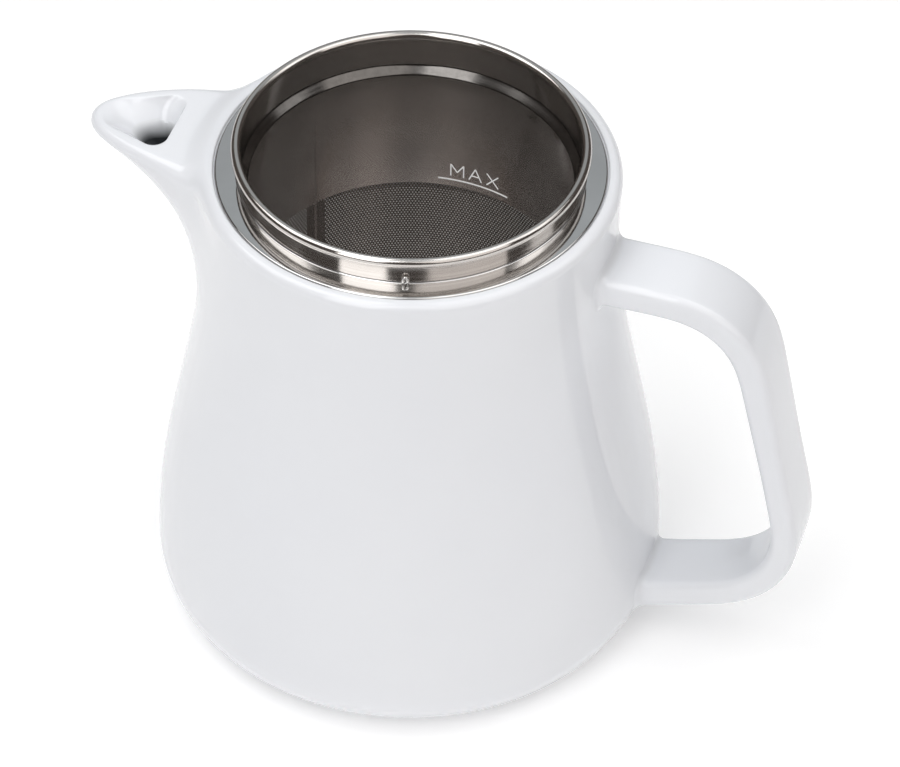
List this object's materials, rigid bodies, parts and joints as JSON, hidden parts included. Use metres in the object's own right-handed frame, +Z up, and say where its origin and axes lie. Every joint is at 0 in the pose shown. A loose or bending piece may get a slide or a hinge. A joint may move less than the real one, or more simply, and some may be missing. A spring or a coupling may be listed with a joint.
{
  "type": "teapot with infuser",
  "caption": "White porcelain teapot with a strap handle and drawn-out spout, and a lift-out stainless steel infuser seated in its neck. No lid.",
  "frame": {"origin": "on the pot's vertical axis, in the plane of the foot ring that it stands on", "axes": "+Z up along the pot's and the infuser's common axis; +X towards the handle, -X towards the spout"},
  "size_m": [0.1986, 0.1388, 0.152],
  "materials": {
    "porcelain": "gloss",
    "brushed_steel": "satin",
    "polished_steel": "polished",
    "filter_steel": "gloss"
  },
  "bodies": {
    "pot": {"pot_body": "porcelain", "handle": "porcelain"},
    "infuser": {"neck_sleeve": "brushed_steel", "seat_flange": "polished_steel", "lid_lug": "polished_steel", "filter_wall": "filter_steel", "filter_base": "filter_steel"}
  },
  "joints": [
    {"name": "infuser_lift", "type": "slide", "parent": "pot", "child": "infuser", "axis": [0, 0, 1], "range_m": [0, 0.125]}
  ]
}
